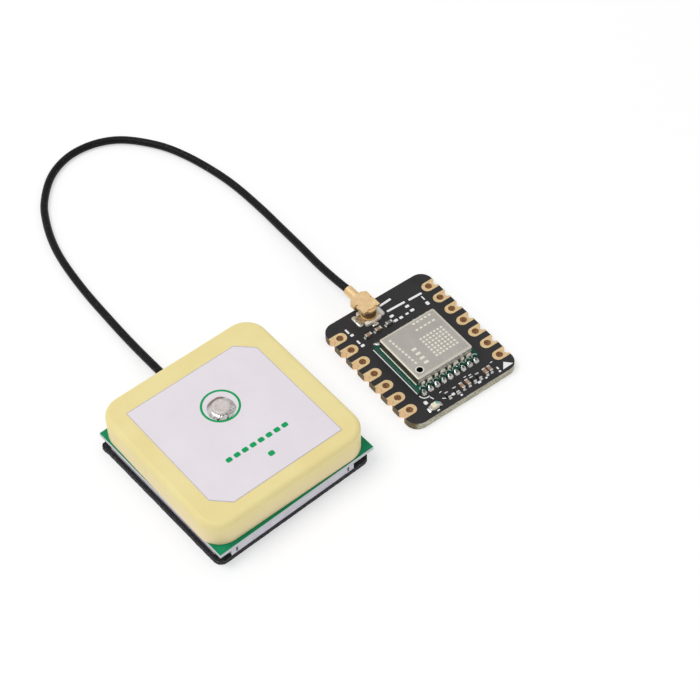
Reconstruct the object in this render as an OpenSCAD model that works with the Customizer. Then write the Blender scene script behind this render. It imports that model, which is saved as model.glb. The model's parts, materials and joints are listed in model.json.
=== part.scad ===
// Satellite positioning module: a carrier board with a shielded receiver, a snap-on coaxial plug,
// a thin coaxial lead and an active ceramic patch antenna. Millimetres, +Z up.
// The origin is the middle of the carrier board's underside, and +Y points to the antenna socket.

/* [Carrier board] */
// Length, from the lamp edge to the antenna socket edge
board_l = 20.8; // [20.6:0.1:24]
// Thickness
board_t = 1.2; // [0.8:0.1:1.6]
// Corner radius
board_r = 1.8; // [0.5:0.1:2]
// Distance between the two pin rows
row_gap = 15.24; // [14.6:0.02:17.78]
// Distance from a pin row to the board's edge
row_margin = 1.28; // [1.1:0.02:2.4]
// Distance between neighbouring pins
pin_pitch = 2.54; // [2.3:0.02:2.54]
// Pins in each row
row_pins = 7; // [3:1:7]
// Finished diameter of a plated pin hole
pin_hole_d = 1; // [0.8:0.05:1.1]
// Diameter of the plated half hole in the edge
edge_hole_d = 1; // [0.6:0.05:1.1]
// Width of a copper pad
pad_w = 1.62; // [1.5:0.02:2]
// Reach of a copper pad from its pin hole towards the board's middle
pad_reach = 1.02; // [0.9:0.02:1.2]
// Thickness of the pads' copper
copper_t = 0.05; // [0.03:0.01:0.1]

/* [Receiver module] */
// Width of the module's base board
module_w = 10.1; // [9.8:0.1:11]
// Length of the module's base board
module_l = 9.7; // [9.2:0.1:10]
// Thickness of the module's base board
module_t = 0.8; // [0.6:0.1:1]
// Place of the module's middle along the board
module_y = -1.45; // [-1.6:0.05:-1.2]
// Distance between neighbouring half holes
half_hole_pitch = 1.1; // [1:0.05:1.15]
// Diameter of a half hole
half_hole_d = 0.6; // [0.4:0.05:0.7]
// Half holes along one side
half_holes = 9; // [5:1:9]
// How far a solder joint reaches out from the module
joint_reach = 0.8; // [0.6:0.05:0.9]
// Width of a solder joint
joint_w = 0.76; // [0.7:0.02:0.9]
// Height of a solder joint
joint_h = 0.55; // [0.3:0.05:0.6]

/* [Receiver shield] */
// Distance of the shield can from the module's edges, across
shield_inset_x = 0.45; // [0.3:0.05:0.75]
// Distance of the shield can from the module's edges, along
shield_inset_y = 0.6; // [0.4:0.05:0.8]
// How far the shield can is soldered off the module's middle
shield_shift = -0.1; // [-0.15:0.05:0.15]
// Height of the shield can
shield_h = 1.4; // [1.2:0.1:2]
// Sheet thickness
shield_wall = 0.15; // [0.1:0.05:0.25]
// Radius of the can's upright corners
shield_r = 0.3; // [0.3:0.05:0.8]
// Radius of the bend around the can's top
shield_bend = 0.15; // [0.1:0.05:0.25]
// Diameter of the pin-one hole in the can's top
mark_hole_d = 0.88; // [0.4:0.02:1]
// Distance of the pin-one hole from the can's two sides
mark_inset = 1.2; // [0.9:0.05:1.4]
// Width of a notch in the can's lower rim
rim_notch_w = 0.45; // [0.3:0.05:0.6]
// Height of a notch in the can's lower rim
rim_notch_h = 0.35; // [0.2:0.05:0.5]
// Side of the square receiver chip
receiver_side = 4.5; // [3.5:0.1:4.8]

/* [Small parts on the board] */
// Length of a chip part
chip_l = 1; // [0.9:0.05:1.1]
// Width of a chip part
chip_w = 0.5; // [0.4:0.05:0.6]
// Height of a chip capacitor or inductor
chip_h = 0.5; // [0.3:0.05:0.6]
// Height of a chip resistor
resistor_h = 0.35; // [0.25:0.05:0.5]
// Length of a tinned end
end_l = 0.22; // [0.15:0.01:0.3]
// How far the solder reaches past a tinned end
end_solder = 0.2; // [0.1:0.02:0.3]
// Distance of the lower row of chips from the board's edge
lower_row_inset = 1.55; // [1.3:0.05:1.7]
// Distance of the upper row of chips from the socket's middle
upper_row_drop = 2.7; // [2.65:0.05:3]
// Length of the status lamp
lamp_l = 1.6; // [1.4:0.1:1.8]
// Width of the status lamp
lamp_w = 0.8; // [0.6:0.1:0.9]
// Height of the status lamp's base
lamp_base_h = 0.3; // [0.2:0.05:0.4]
// Height of the status lamp's lens above its base
lamp_lens_h = 0.35; // [0.2:0.05:0.4]

/* [Antenna socket] */
// Place of the socket's middle across the board
socket_x = -2.2; // [-2.5:0.05:-1.5]
// Distance of the socket's middle from the board's edge
socket_inset = 2.1; // [2.05:0.05:2.15]
// Side of the insulator
socket_side = 2.6; // [2.5:0.1:2.8]
// Height of the insulator
socket_base_h = 0.45; // [0.4:0.05:0.5]
// Height of the contact ring above the board
socket_h = 1.25; // [1.1:0.05:1.3]
// Outer diameter of the contact ring
socket_ring_d = 1.7; // [1.6:0.05:1.8]
// Thickness of the contacts
contact_t = 0.12; // [0.1:0.01:0.16]
// Width of the two ground feet
foot_w = 1.5; // [1:0.1:1.7]
// Reach of the ground feet from the socket's middle
foot_reach = 1.85; // [1.75:0.05:1.95]
// Diameter of the centre pin
socket_pin_d = 0.4; // [0.3:0.05:0.5]

/* [Plug] */
// Height of the plugged plug above the board
plug_h = 2.4; // [2.3:0.05:2.6]
// Width of the plug's cap
plug_w = 2.8; // [2.7:0.05:3]
// Reach of the cap from the socket's middle towards the board's middle
cap_front = 0.7; // [0.6:0.05:0.9]
// Reach of the cap from the socket's middle towards the lead
cap_back = 2.2; // [2.1:0.05:2.4]
// Thickness of the cap
cap_t = 0.45; // [0.35:0.05:0.5]
// Wall of the plug's barrel
barrel_wall = 0.16; // [0.12:0.01:0.2]
// Clearance between the barrel and the socket's contact ring
plug_fit = 0.04; // [0.02:0.01:0.06]
// Length of the crimp sleeve
sleeve_l = 1.85; // [1.5:0.05:2.2]
// Outer diameter of the crimp sleeve
sleeve_d = 1.44; // [1.35:0.01:1.5]
// Turn of the plug on the socket, in degrees
plug_turn = 2; // [0:0.5:6]

/* [Lead] */
// Diameter of the coaxial lead
cable_d = 1.13; // [1:0.01:1.2]
// Diameter of the lead's inner insulation
core_d = 0.7; // [0.5:0.02:0.74]
// Diameter of the lead's inner wire
wire_d = 0.26; // [0.2:0.02:0.3]

/* [Antenna place] */
// Place of the antenna's middle, across
antenna_x = -29.05; // [-30:0.05:-29]
// Place of the antenna's middle, along
antenna_y = 1.15; // [0.5:0.05:1.5]
// Turn of the antenna on the table, in degrees
antenna_turn = 3.9; // [3:0.1:4.5]

/* [Antenna] */
// Side of the square ceramic block and of the amplifier board under it
antenna_side = 25; // [23.5:0.1:26]
// Height of the ceramic block
ceramic_h = 4.1; // [3:0.1:6]
// Radius of the block's upright corners
ceramic_r = 3.2; // [2:0.1:4]
// Radius of the block's upper edge
ceramic_edge = 0.7; // [0.5:0.1:1.5]
// Turn of the ceramic block on its board, in degrees
ceramic_turn = -1.3; // [-2:0.1:0]
// How far the ceramic block is stuck off its board's middle
ceramic_shift = 0.35; // [0:0.05:0.5]
// Width of the silver patch
patch_w = 19.4; // [17:0.1:20]
// Length of the silver patch
patch_l = 19.7; // [17:0.1:20]
// Length cut from two opposite corners of the patch
patch_cut = 2.2; // [1:0.1:3]
// Place of the patch's middle across the ceramic block
patch_x = -0.15; // [-0.3:0.05:0.3]
// Place of the patch's middle along the ceramic block
patch_y = -0.5; // [-0.7:0.05:0.3]
// Thickness of the silver layers
silver_t = 0.05; // [0.03:0.01:0.1]
// Distance of the feed pin from the patch's middle
feed_offset = 2.6; // [1.5:0.05:3]
// Diameter of the feed pin
feed_d = 1; // [0.8:0.05:1.2]
// Diameter of the feed pin's head
feed_head_d = 2.5; // [2:0.1:3]
// Height of the feed pin's head
feed_head_h = 0.3; // [0.2:0.05:0.5]
// Diameter of the solder around the feed pin
feed_solder_d = 4.2; // [3.6:0.1:5]
// Height of the solder around the feed pin
feed_solder_h = 0.4; // [0.2:0.05:0.6]

/* [Amplifier under the antenna] */
// Thickness of the amplifier board
amp_t = 0.6; // [0.4:0.1:1]
// Distance of the shield can from the board's edges, across
can_inset_x = 1; // [0.7:0.05:1.2]
// Distance of the shield can from the board's edges, along
can_inset_y = 0.25; // [0.1:0.05:0.8]
// How far the shield can is soldered off the board's middle
can_shift = -0.65; // [-0.7:0.05:0]
// Height of the shield can
can_h = 1.5; // [1.4:0.1:2]
// Sheet thickness of the shield can
can_wall = 0.2; // [0.15:0.05:0.25]
// Side of the open corners of the can
can_corner = 1.5; // [1:0.1:2]
// Distance of the slits in the can's walls from its corners
slit_inset = 2.4; // [2.3:0.1:3]
// Width of the slits
slit_w = 0.3; // [0.2:0.05:0.4]
// Place of the lead's mouth along the can's wall
mouth_x = 0.1; // [-2:0.05:2]
// Clearance around the lead in its mouth
mouth_fit = 0.15; // [0.1:0.05:0.3]
// How far the foam pad reaches past the shield can, across
foam_over_x = 1; // [0.5:0.05:1.2]
// How far the foam pad reaches past the shield can, along
foam_over_y = 0.1; // [0:0.05:0.5]
// Thickness of the foam pad
foam_t = 0.9; // [0.5:0.1:1.5]
// Corner radius of the foam pad
foam_r = 1.2; // [0.5:0.1:2]
// How far the foam pad is stuck off the middle
foam_shift = -0.2; // [-0.6:0.05:0]

/* [Hidden] */
$fn = 48;
// Overlap of a cut past the face that it opens
past = 1;

// Width of the carrier board, across its pin rows
board_w = row_gap + 2 * row_margin;

// Heights on the carrier board
module_z = board_t;
module_top = module_z + module_t;
chips_z = board_t;

// The receiver's shield, the room inside it, and what stands there
shield_w = module_w - 2 * shield_inset_x;
shield_l = module_l - 2 * shield_inset_y;
inside_w = shield_w - 2 * shield_wall;
inside_l = shield_l - 2 * shield_wall;
inside_gap = 0.5;
receiver_h = 0.8;
filter_size = [1.4, 1.1, 0.5];
clock_size = [2, 1.6, 0.7];
passive_size = [0.6, 0.3, 0.3];
passive_pitch = 0.8;
passives = 6;

// Rows of small parts: places across the board
socket_y = board_l / 2 - socket_inset;
upper_y = socket_y - upper_row_drop;
lower_y = lower_row_inset - board_l / 2;
upper_capacitors = [-4.3, -2.65];
inductor_x = -0.8;
lower_capacitors = [0.2, 1.15, 4.15, 4.9];
lower_resistors = [-2.15, -0.8, 2.1, 3.05];
lamp_x = -4.7;
lamp_drop = 0.4;
lamp_end_l = 0.3;
lens_r = 0.2;
lens_edge = 0.12;

// Socket and plug, measured from the socket's middle on the board's top
solder_t = 0.18;
solder_margin = 0.15;
tail_w = 0.5;
tail_reach = 1.75;
pin_below = 0.2;
pin_h = socket_h - pin_below;
floor_h = 0.25;
ring_r = socket_ring_d / 2;
barrel_r = ring_r + plug_fit;
barrel_lip = 0.1;
barrel_lip_h = 0.15;
barrel_lift = 0.1;
barrel_bottom = socket_base_h + barrel_lift;
cap_bottom = plug_h - cap_t;
insulator_z = socket_h + plug_fit;
core_z = insulator_z + core_d / 2;
wing_l = 1.1;
wing_t = 0.2;
wing_drop = 0.75;
wing_slot = 0.18;
wing_slot_depth = 0.3;
front_notches = [-0.45, 0.7];
front_notch_w = 0.35;
front_notch_depth = 0.16;
neck_l = 0.4;
sleeve_start = cap_back + neck_l;
sleeve_end = sleeve_start + sleeve_l;
contact_r = socket_pin_d / 2 + contact_t;
contact_fit = 0.02;

// The antenna's shield can and foam pad
can_w = antenna_side - 2 * can_inset_x;
can_l = antenna_side - 2 * can_inset_y;
foam_w = can_w + 2 * foam_over_x;
foam_l = can_l + 2 * foam_over_y;

// Heights in the antenna, from the table up
can_z = foam_t;
amp_z = can_z + can_h;
amp_top = amp_z + amp_t;
ceramic_z = amp_top + silver_t;
patch_z = ceramic_z + ceramic_h;
patch_top = patch_z + silver_t;
mouth_z = can_z + can_h / 2;
electrode_margin = 0.5;
feed_hole_fit = 0.1;
feed_clear = 0.8;
feed_tail = 0.45;
feed_joint_d = 2;

// The lead's stripped end in the can, measured from the can's wall inwards
jacket_in = 2.1;
core_l = 1.6;
wire_l = 0.9;
jacket_end = can_l / 2 - jacket_in;
core_end = jacket_end - core_l;
wire_end = core_end - wire_l;
lead_joint_w = 1.8;
lead_joint_l = 1.2;
wire_joint_w = 0.9;
wire_joint_l = 0.7;
lead_joint_skin = 0.12;

// Parts on the amplifier board's underside: place and size
amp_filter_size = [3, 3, 1];
amp_filter_at = [-5.5, -3];
amp_chip_size = [2, 1.3, 0.9];
amp_chip_at = [4.5, -1.5];
amp_passives = 7;
amp_passive_pitch = 1.9;
amp_passives_y = -6.5;

// Points of the lead between plug and antenna: across, along, and lift above the table
cable_points = [
    [-2.5, 16, 2], [-2.45, 19.7, 1.55], [-2.2, 24, 1.05], [-2, 28.9, 0.5], [-1.9, 33.8, 0.15],
    [-2.2, 39.6, 0.04], [-2.95, 44.3, 0.01], [-4.4, 49.5, 0], [-6.4, 53.8, 0], [-9.7, 57.8, 0],
    [-13.05, 59.7, 0], [-16.75, 60.2, 0], [-20.05, 59.4, 0], [-23, 57.5, 0], [-25.85, 54.2, 0],
    [-27.55, 50.9, 0], [-28.9, 46.9, 0], [-29.7, 42.6, 0], [-30.15, 36.5, 0.01], [-30.2, 30.3, 0.03],
    [-30.15, 24.4, 0.2], [-30.05, 18.1, 0.8]];
cable_sides = 8;
cable_steps = 2;

// Plain shapes

module rounded_rect(w, l, r) {
    square([w - 2 * r, l], center = true);
    square([w, l - 2 * r], center = true);
    for (x = [-1, 1], y = [-1, 1])
        translate([x * (w / 2 - r), y * (l / 2 - r)]) circle(r);
}

// A quarter disc whose square corner is at the origin
module quarter_disc(r) {
    intersection() {
        circle(r);
        square(r);
    }
}

// Section from the axis to one side, with the upper outer corner rounded
module half_section(reach, h, edge) {
    square([reach, h - edge]);
    square([reach - edge, h]);
    translate([reach - edge, h - edge]) quarter_disc(edge);
}

module full_section(w, h, edge) {
    half_section(w / 2, h, edge);
    mirror([1, 0]) half_section(w / 2, h, edge);
}

// A block with rounded upright corners and a rounded upper edge
module soft_block(w, l, h, r, edge) {
    x = w / 2 - r;
    y = l / 2 - r;
    translate([0, y, 0]) rotate([90, 0, 0]) linear_extrude(2 * y) full_section(w, h, edge);
    translate([-x, 0, 0]) rotate([90, 0, 90]) linear_extrude(2 * x) full_section(l, h, edge);
    for (i = [-1, 1], j = [-1, 1])
        translate([i * x, j * y, 0]) rotate_extrude() half_section(r, h, edge);
}

module rounded_block(w, l, h, r) {
    linear_extrude(h) rounded_rect(w, l, r);
}

module block(size) {
    translate([-size.x / 2, -size.y / 2, 0]) cube(size);
}

// A rod along +Y from one place to another
module rod_y(d, from, to) {
    translate([0, to, 0]) rotate([90, 0, 0]) cylinder(d = d, h = to - from);
}

// A hollow fillet against the XZ plane: reach along +Y, height along Z, and width across
module fillet(w, reach, h) {
    translate([-w / 2, 0, 0]) rotate([90, 0, 90]) linear_extrude(w) difference() {
        polygon([[0, 0], [reach, 0], [0, h]]);
        translate([reach, h]) circle(min(reach, h) * 0.9);
    }
}

// Carrier board

// Each pin's place, with its board edge towards +X
module at_pins() {
    for (side = [0, 1], i = [0 : row_pins - 1])
        mirror([side, 0, 0])
            translate([0, (i - (row_pins - 1) / 2) * pin_pitch, 0])
                children();
}

module pad_outline(overrun = 0) {
    start = row_gap / 2 + pad_w / 2 - pad_reach;
    translate([start, 0]) circle(d = pad_w);
    translate([start, -pad_w / 2]) square([board_w / 2 - start + overrun, pad_w]);
}

module pin_cylinder(d, from, to) {
    translate([row_gap / 2, 0, from]) cylinder(d = d, h = to - from);
}

module edge_cylinder(d, from, to) {
    translate([board_w / 2, 0, from]) cylinder(d = d, h = to - from);
}

module carrier_board() {
    color("#26262b") difference() {
        rounded_block(board_w, board_l, board_t, board_r);
        at_pins() {
            translate([0, 0, -past]) linear_extrude(past + copper_t) pad_outline(past);
            pin_cylinder(pin_hole_d, -past, board_t + past);
            edge_cylinder(edge_hole_d + 2 * copper_t, -past, board_t + past);
        }
    }
}

// One pad on each face, joined by the plating of the half hole
module edge_pad() {
    top = board_t + copper_t;
    difference() {
        union() {
            linear_extrude(copper_t) pad_outline();
            translate([0, 0, board_t]) linear_extrude(copper_t) pad_outline();
            intersection() {
                edge_cylinder(edge_hole_d + 2 * copper_t, 0, top);
                linear_extrude(top) pad_outline();
            }
        }
        pin_cylinder(pin_hole_d, -past, top + past);
        edge_cylinder(edge_hole_d, -past, top + past);
    }
}

module edge_pads() {
    color("#d9b26a") at_pins() edge_pad();
}

// Receiver module

// Each half hole's place, with the way out of the module towards +Y
module at_half_holes() {
    for (side = [0, 1], i = [0 : half_holes - 1])
        translate([(i - (half_holes - 1) / 2) * half_hole_pitch, module_y, module_z])
            mirror([0, side, 0])
                translate([0, module_l / 2, 0])
                    children();
}

module module_board() {
    color("#0f6b4a") difference() {
        translate([0, module_y, module_z]) block([module_w, module_l, module_t]);
        at_half_holes() translate([0, 0, -past]) cylinder(d = half_hole_d, h = module_t + 2 * past);
    }
}

module solder_joint() {
    foot_t = joint_h / 4;
    foot_l = joint_reach - joint_w / 2;
    cylinder(d = half_hole_d, h = joint_h);
    fillet(joint_w, joint_reach, joint_h);
    linear_extrude(foot_t) {
        translate([-joint_w / 2, 0]) square([joint_w, foot_l]);
        translate([0, foot_l]) circle(d = joint_w);
    }
}

module module_solder() {
    color("#d8d8d6") at_half_holes() difference() {
        solder_joint();
        translate([0, -half_hole_d, -past]) difference() {
            translate([-joint_w, -half_hole_d, 0]) cube([2 * joint_w, 2 * half_hole_d, joint_h + 2 * past]);
            translate([0, half_hole_d, 0]) cylinder(d = half_hole_d, h = joint_h + 2 * past);
        }
    }
}

module module_shield() {
    notches = half_holes - 1;
    color("#b9b5ab") translate([shield_shift, module_y, module_top]) difference() {
        soft_block(shield_w, shield_l, shield_h, shield_r, shield_bend);
        translate([0, 0, -past])
            rounded_block(inside_w, inside_l, shield_h - shield_wall + past, shield_r - shield_wall);
        translate([mark_inset - shield_w / 2, mark_inset - shield_l / 2, 0])
            cylinder(d = mark_hole_d, h = shield_h + past);
        for (i = [0 : notches - 1])
            translate([(i - (notches - 1) / 2) * half_hole_pitch, 0, -past])
                block([rim_notch_w, shield_l + 2 * past, rim_notch_h + past]);
    }
}

module receiver_chip() {
    at = [(receiver_side - inside_w) / 2 + inside_gap, (inside_l - receiver_side) / 2 - inside_gap];
    color("#1c1c1e") translate([at.x, module_y + at.y, module_top])
        block([receiver_side, receiver_side, receiver_h]);
}

module signal_filter() {
    at = [(inside_w - filter_size.x) / 2 - inside_gap, (inside_l - filter_size.y) / 2 - inside_gap];
    color("#c9c2b0") translate([at.x, module_y + at.y, module_top]) block(filter_size);
}

module clock_oscillator() {
    at = [(inside_w - clock_size.x) / 2 - inside_gap, (clock_size.y - inside_l) / 2 + inside_gap];
    color("#c8c8cc") translate([at.x, module_y + at.y, module_top]) block(clock_size);
}

module module_passives() {
    first = [(passive_size.x - inside_w) / 2 + inside_gap, (passive_size.y - inside_l) / 2 + inside_gap];
    color("#a0764f") for (i = [0 : passives - 1])
        translate([first.x + i * passive_pitch, module_y + first.y, module_top]) block(passive_size);
}

// Small parts on the board, each along X at its own place

module at_upper(x) {
    translate([x, upper_y, chips_z]) children();
}

module at_lower(x) {
    translate([x, lower_y, chips_z]) rotate(90) children();
}

module at_lamp() {
    translate([lamp_x, lower_y - lamp_drop, chips_z]) children();
}

module chip_body(h) {
    block([chip_l - 2 * end_l, chip_w, h]);
}

// The two tinned ends of a chip part, with their solder
module ends(l, w, h, tin_l) {
    for (side = [0, 1])
        mirror([side, 0, 0]) {
            translate([l / 2 - tin_l, -w / 2, 0]) cube([tin_l, w, h]);
            translate([l / 2, 0, 0]) rotate(-90) fillet(w, end_solder, h * 0.8);
        }
}

module chip_capacitors() {
    color("#a5805f") {
        for (x = upper_capacitors) at_upper(x) chip_body(chip_h);
        for (x = lower_capacitors) at_lower(x) chip_body(chip_h);
    }
}

module chip_resistors() {
    color("#202024") for (x = lower_resistors) at_lower(x) chip_body(resistor_h);
}

module chip_inductor() {
    color("#8f8f8f") at_upper(inductor_x) chip_body(chip_h);
}

module lamp_base() {
    color("#efe9d2") at_lamp() block([lamp_l - 2 * lamp_end_l, lamp_w, lamp_base_h]);
}

module lamp_lens() {
    color("#f3eccb") at_lamp() translate([0, 0, lamp_base_h])
        soft_block(lamp_l - 2 * lamp_end_l, lamp_w, lamp_lens_h, lens_r, lens_edge);
}

module chip_ends() {
    color("#dcdcda") {
        for (x = concat(upper_capacitors, inductor_x)) at_upper(x) ends(chip_l, chip_w, chip_h, end_l);
        for (x = lower_capacitors) at_lower(x) ends(chip_l, chip_w, chip_h, end_l);
        for (x = lower_resistors) at_lower(x) ends(chip_l, chip_w, resistor_h, end_l);
        at_lamp() ends(lamp_l, lamp_w, lamp_base_h, lamp_end_l);
    }
}

// Antenna socket

module at_socket() {
    translate([socket_x, socket_y, board_t]) children();
}

// The contact ring and its two ground feet
module shell_shape() {
    leg_x = socket_side / 2;
    step_z = socket_base_h - contact_t;
    difference() {
        translate([0, 0, floor_h]) cylinder(r = ring_r, h = socket_h - floor_h);
        cylinder(r = ring_r - contact_t, h = socket_h + past);
    }
    for (side = [0, 1])
        mirror([side, 0, 0]) {
            difference() {
                translate([0, -foot_w / 2, step_z]) cube([leg_x + contact_t, foot_w, contact_t]);
                cylinder(r = ring_r - contact_t / 2, h = socket_h);
            }
            translate([leg_x, -foot_w / 2, 0]) cube([contact_t, foot_w, socket_base_h]);
            translate([leg_x, -foot_w / 2, 0]) cube([foot_reach - leg_x, foot_w, contact_t]);
        }
}

module pin_shape() {
    cylinder(d = socket_pin_d, h = pin_h);
    translate([-tail_w / 2, -tail_reach, 0]) cube([tail_w, tail_reach, contact_t]);
}

module socket_base() {
    color("#e9dccb") at_socket() difference() {
        rounded_block(socket_side, socket_side, socket_base_h, 2 * contact_t);
        shell_shape();
        translate([0, 0, floor_h]) cylinder(r = ring_r - contact_t / 2, h = socket_h);
        pin_shape();
    }
}

module socket_shell() {
    color("#cdb27a") at_socket() shell_shape();
}

module socket_pin() {
    color("#d6b56a") at_socket() pin_shape();
}

module socket_solder() {
    inner = socket_side / 2 + contact_t;
    pad_l = foot_w + 4 * solder_margin;
    front = socket_side / 2;
    color("#e4e4e2") at_socket() difference() {
        union() {
            for (side = [0, 1])
                mirror([side, 0, 0])
                    translate([inner, -pad_l / 2, 0])
                        cube([foot_reach + solder_margin - inner, pad_l, solder_t]);
            translate([-tail_w / 2 - solder_margin, -tail_reach - solder_margin, 0])
                cube([tail_w + 2 * solder_margin, tail_reach + solder_margin - front, solder_t]);
        }
        shell_shape();
        pin_shape();
    }
}

// Plug, in the socket's frame turned by its own angle

module at_plug() {
    at_socket() rotate(plug_turn) children();
}

// The cap's outline, with the neck that leads to the crimp sleeve
module cap_outline() {
    half = plug_w / 2;
    difference() {
        union() {
            translate([-half, -cap_front]) square([plug_w, cap_front + cap_back]);
            polygon([
                [-half, cap_back], [-sleeve_d / 2, sleeve_start],
                [sleeve_d / 2, sleeve_start], [half, cap_back]]);
        }
        for (side = [0, 1])
            mirror([side, 0])
                translate([half - wing_slot_depth, cap_back - wing_l - wing_slot])
                    square([wing_slot_depth + past, wing_slot]);
        for (x = front_notches)
            translate([x - front_notch_w / 2, -cap_front - past])
                square([front_notch_w, front_notch_depth + past]);
    }
}

module plug_wings() {
    for (side = [0, 1])
        mirror([side, 0, 0])
            translate([plug_w / 2 - wing_t, cap_back - wing_l, cap_bottom - wing_drop])
                cube([wing_t, wing_l, wing_drop + cap_t / 2]);
}

module barrel_body() {
    outer_r = barrel_r + barrel_wall;
    barrel_h = plug_h - cap_t / 2 - barrel_bottom;
    translate([0, 0, barrel_bottom]) cylinder(r = outer_r + barrel_lip, h = barrel_lip_h);
    translate([0, 0, barrel_bottom]) cylinder(r = outer_r, h = barrel_h);
}

module sleeve_body() {
    translate([0, 0, core_z]) rod_y(sleeve_d, cap_back, sleeve_end);
}

// The passage for the lead's core, and the room inside the barrel
module plug_room() {
    translate([0, 0, core_z]) rod_y(core_d, 0, sleeve_end + past);
    cylinder(r = barrel_r, h = cap_bottom);
}

module contact_shape() {
    contact_h = core_z + wire_d / 2 - barrel_bottom;
    translate([0, 0, barrel_bottom]) cylinder(r = contact_r + contact_fit, h = contact_h);
    translate([0, 0, core_z]) rod_y(wire_d, 0, sleeve_end);
}

module plug_shell() {
    color("#d8b36c") at_plug() difference() {
        union() {
            translate([0, 0, cap_bottom]) linear_extrude(cap_t) cap_outline();
            plug_wings();
            barrel_body();
            sleeve_body();
        }
        plug_room();
    }
}

module plug_insulator() {
    color("#efece4") at_plug() difference() {
        union() {
            translate([0, 0, insulator_z]) cylinder(r = barrel_r, h = cap_bottom - insulator_z);
            translate([0, 0, core_z]) rod_y(core_d, 0, sleeve_end);
        }
        contact_shape();
    }
}

module plug_contact() {
    bore_d = socket_pin_d + 2 * contact_fit;
    color("#d6b56a") at_plug() difference() {
        contact_shape();
        translate([0, 0, -past]) cylinder(d = bore_d, h = past + pin_h + contact_fit);
    }
}

// Lead

function turned(p, angle) = [
    p.x * cos(angle) - p.y * sin(angle),
    p.x * sin(angle) + p.y * cos(angle)];

function unit(v) = v / norm(v);

// A smooth curve from b to c, with a before and d after
function curve(a, b, c, d, t) =
    (2 * b + (c - a) * t + (2 * a - 5 * b + 4 * c - d) * t * t + (3 * b - a - 3 * c + d) * t * t * t) / 2;

plug_way = turned([0, 1], plug_turn);
plug_end = [socket_x, socket_y] + turned([0, sleeve_end], plug_turn);
lead_way = turned([0, 1], antenna_turn);
lead_end = [antenna_x, antenna_y] + turned([mouth_x, jacket_end], antenna_turn);
lead_mouth = lead_end + lead_way * (jacket_in + cable_d);
plug_z = board_t + core_z;

// The lead's own points, from the plug to its end in the antenna's can
lead_points = concat(
    [[plug_end.x, plug_end.y, plug_z]],
    [for (p = cable_points) [p.x, p.y, p.z + cable_d / 2]],
    [[lead_mouth.x, lead_mouth.y, mouth_z], [lead_end.x, lead_end.y, mouth_z]]);

// One more point past each end, which gives the lead its direction there
guided_points = concat(
    [lead_points[0] - cable_d * [plug_way.x, plug_way.y, 0]],
    lead_points,
    [lead_points[len(lead_points) - 1] - cable_d * [lead_way.x, lead_way.y, 0]]);

function lead_place(i, t) =
    curve(guided_points[i], guided_points[i + 1], guided_points[i + 2], guided_points[i + 3], t);

lead_path = concat(
    [for (i = [0 : len(lead_points) - 2], s = [0 : cable_steps - 1]) lead_place(i, s / cable_steps)],
    [lead_points[len(lead_points) - 1]]);

function path_way(i) =
    i == 0 ? [plug_way.x, plug_way.y, 0] :
    i == len(lead_path) - 1 ? [-lead_way.x, -lead_way.y, 0] :
    unit(lead_path[i + 1] - lead_path[i - 1]);

// Points of one ring around the lead, square to its way
function ring_points(p, way) = let (side = unit(cross(way, [0, 0, 1])), up = cross(side, way))
    [for (k = [0 : cable_sides - 1]) let (a = (k + 0.5) * 360 / cable_sides)
        p + cable_d / 2 * (cos(a) * side + sin(a) * up)];

module coax_cable() {
    n = cable_sides;
    last = len(lead_path) - 1;
    points = [for (i = [0 : last]) each ring_points(lead_path[i], path_way(i))];
    walls = [for (i = [0 : last - 1], k = [0 : n - 1])
        [i * n + k, i * n + (k + 1) % n, (i + 1) * n + (k + 1) % n, (i + 1) * n + k]];
    start = [for (k = [0 : n - 1]) n - 1 - k];
    finish = [for (k = [0 : n - 1]) last * n + k];
    color("#1b1b1d") polyhedron(points, concat(walls, [start, finish]));
}

// Antenna, in its own frame

module at_antenna() {
    translate([antenna_x, antenna_y, 0]) rotate(antenna_turn) children();
}

// The ceramic block's own place in the antenna's frame
module at_ceramic() {
    translate([0, ceramic_shift, 0]) rotate(ceramic_turn) children();
}

module at_feed() {
    at_ceramic() translate([patch_x, patch_y + feed_offset, 0]) children();
}

// A rod along the feed pin's axis
module feed_rod(d, from, to) {
    at_feed() translate([0, 0, from]) cylinder(d = d, h = to - from);
}

module at_mouth() {
    translate([mouth_x, 0, mouth_z]) children();
}

module core_shape() {
    at_mouth() rod_y(core_d, core_end, jacket_end);
    at_mouth() rod_y(wire_d, wire_end, jacket_end);
}

module lead_core() {
    color("#e8e6e0") at_antenna() core_shape();
}

// Two blocks of solder hang from the amplifier board around the stripped lead
module lead_solder() {
    bottom = mouth_z - core_d / 2 - lead_joint_skin;
    joint_drop = amp_z - bottom;
    color("#d8d8d6") at_antenna() difference() {
        union() {
            translate([mouth_x, (core_end + jacket_end) / 2, bottom])
                block([lead_joint_w, lead_joint_l, joint_drop]);
            translate([mouth_x, (wire_end + core_end - wire_joint_l / 2) / 2, bottom])
                block([wire_joint_w, wire_joint_l, joint_drop]);
        }
        core_shape();
    }
}

module foam_pad() {
    color("#161617") at_antenna() translate([foam_shift, 0, 0])
        rounded_block(foam_w, foam_l, foam_t, foam_r);
}

module can_outline() {
    difference() {
        square([can_w, can_l], center = true);
        for (x = [-1, 1], y = [-1, 1])
            translate([x * can_w / 2, y * can_l / 2]) square(2 * can_corner, center = true);
    }
}

// One pair of slits, cut through both walls that face along Y on a can of this size
module slit_pair(w, l) {
    for (x = [-1, 1])
        translate([x * (w / 2 - slit_inset), 0, can_wall]) block([slit_w, l + 2 * past, can_h]);
}

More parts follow.
